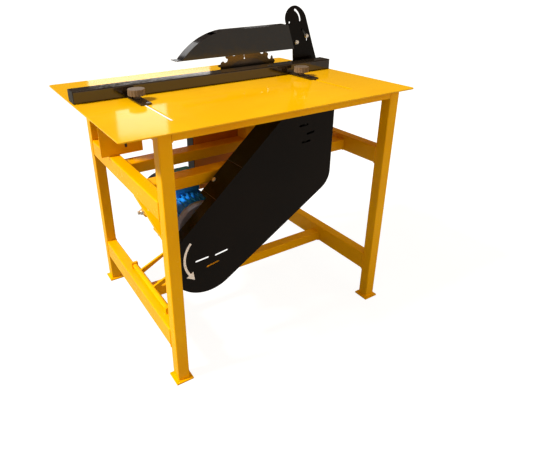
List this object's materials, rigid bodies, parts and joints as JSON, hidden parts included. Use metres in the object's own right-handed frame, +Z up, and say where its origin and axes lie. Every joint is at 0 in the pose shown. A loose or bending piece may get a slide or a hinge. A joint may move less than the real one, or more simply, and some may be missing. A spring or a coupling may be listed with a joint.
{
  "type": "table masonry saw",
  "caption": "Free-standing belt-driven table saw with welded tube frame, sheet table, tilting blade hood, sliding fence, belt guard and under-table motor on a swinging cradle.",
  "frame": {"origin": "on the floor, under the middle of the table sheet", "axes": "+X along the feed, from the operator's end to the far end; +Y towards the back edge; +Z up"},
  "size_m": [1.04, 0.78, 1.0925],
  "materials": {
    "yellow_coat": "yellow powder coat",
    "black_coat": "black powder coat",
    "zinc_plate": "zinc plate",
    "bright_steel": "turned steel",
    "blade_steel": "ground plate with tipped teeth",
    "cast_pulley": "turned grey iron",
    "bearing_casting": "painted casting",
    "belt_rubber": "moulded rubber",
    "motor_blue": "blue enamel",
    "motor_casting": "cast",
    "fan_cover_coat": "dark blue enamel",
    "fan_plastic": "moulded",
    "cap_plastic": "moulded",
    "knob_plastic": "moulded, fluted rim",
    "switch_grey": "moulded",
    "gland_black": "moulded",
    "start_green": "moulded",
    "stop_red": "moulded"
  },
  "bodies": {
    "frame": {"front_left_leg": "yellow_coat", "front_right_leg": "yellow_coat", "back_left_leg": "yellow_coat", "back_right_leg": "yellow_coat", "foot_plates": "yellow_coat", "upper_left_rail": "yellow_coat", "upper_right_rail": "yellow_coat", "lower_left_rail": "yellow_coat", "lower_right_rail": "yellow_coat", "front_top_rail": "yellow_coat", "back_top_rail": "yellow_coat", "side_top_rails": "yellow_coat", "front_arbor_beam": "yellow_coat", "back_arbor_beam": "yellow_coat", "lower_stretcher": "yellow_coat", "table_top": "yellow_coat", "arbor_pedestals": "yellow_coat", "blade_housing": "yellow_coat", "switch_plate": "yellow_coat", "tension_brace": "yellow_coat", "cradle_hinge_pin": "yellow_coat", "housing_end_cover": "black_coat", "hood_bracket": "black_coat", "belt_guard_cover": "black_coat", "belt_guard_back": "black_coat", "belt_guard_screws": "zinc_plate", "tension_rod": "zinc_plate", "frame_bolts": "zinc_plate", "front_arbor_bearing": "bearing_casting", "back_arbor_bearing": "bearing_casting", "front_drive_belt": "belt_rubber", "back_drive_belt": "belt_rubber", "switch_box": "switch_grey", "switch_gland": "gland_black"},
    "fence": {"fence_tube": "black_coat", "fence_end_caps": "cap_plastic", "fence_straps": "black_coat", "clamp_studs": "zinc_plate"},
    "left_knob": {"left_clamp_knob": "knob_plastic"},
    "right_knob": {"right_clamp_knob": "knob_plastic"},
    "hood": {"blade_hood": "black_coat", "hood_bolts": "zinc_plate"},
    "arbor": {"arbor_shaft": "bright_steel", "saw_blade": "blade_steel", "inner_flange": "bright_steel", "outer_flange": "bright_steel", "arbor_nut": "zinc_plate", "arbor_pulley": "cast_pulley"},
    "cradle": {"motor_cradle": "yellow_coat", "motor_body": "motor_blue", "motor_end_shields": "motor_casting", "motor_fan_cover": "fan_cover_coat", "terminal_box": "motor_blue", "motor_bolts": "zinc_plate"},
    "motor_rotor": {"rotor": "bright_steel", "motor_pulley": "cast_pulley", "cooling_fan": "fan_plastic"},
    "start": {"start_button": "start_green"},
    "stop": {"stop_button": "stop_red"}
  },
  "joints": [
    {"name": "fence_slide", "type": "slide", "parent": "frame", "child": "fence", "axis": [0, 1, 0], "range_m": [-0.255, 0.016]},
    {"name": "left_knob_turn", "type": "hinge", "parent": "fence", "child": "left_knob", "pos_m": [-0.33, -0.012, 0.87], "axis": [0, 0, 1], "range_deg": [0, 360]},
    {"name": "right_knob_turn", "type": "hinge", "parent": "fence", "child": "right_knob", "pos_m": [0.33, -0.012, 0.87], "axis": [0, 0, 1], "range_deg": [0, 360]},
    {"name": "hood_tilt", "type": "hinge", "parent": "frame", "child": "hood", "pos_m": [0.411, 0.13, 0.954], "axis": [0, 1, 0], "range_deg": [-4, 17]},
    {"name": "arbor_spin", "type": "hinge", "parent": "frame", "child": "arbor", "pos_m": [0.177, 0, 0.782], "axis": [0, 1, 0], "continuous": true},
    {"name": "cradle_swing", "type": "hinge", "parent": "frame", "child": "cradle", "pos_m": [-0.381, -0.1, 0.203], "axis": [0, 1, 0], "range_deg": [-0.8, 0.8], "deforming": ["front_drive_belt", "back_drive_belt"]},
    {"name": "motor_spin", "type": "hinge", "parent": "cradle", "child": "motor_rotor", "pos_m": [-0.212, 0, 0.437], "axis": [0, 1, 0], "continuous": true},
    {"name": "start_press", "type": "slide", "parent": "frame", "child": "start", "axis": [0, -1, 0], "range_m": [0, 0.004], "stiffness_N_per_m": 500, "springref_m": -0.003},
    {"name": "stop_press", "type": "slide", "parent": "frame", "child": "stop", "axis": [0, -1, 0], "range_m": [0, 0.004], "stiffness_N_per_m": 500, "springref_m": -0.003}
  ],
  "couplings": [
    {"joint": "arbor_spin", "follows": "motor_spin", "ratio": 1.1489}
  ]
}
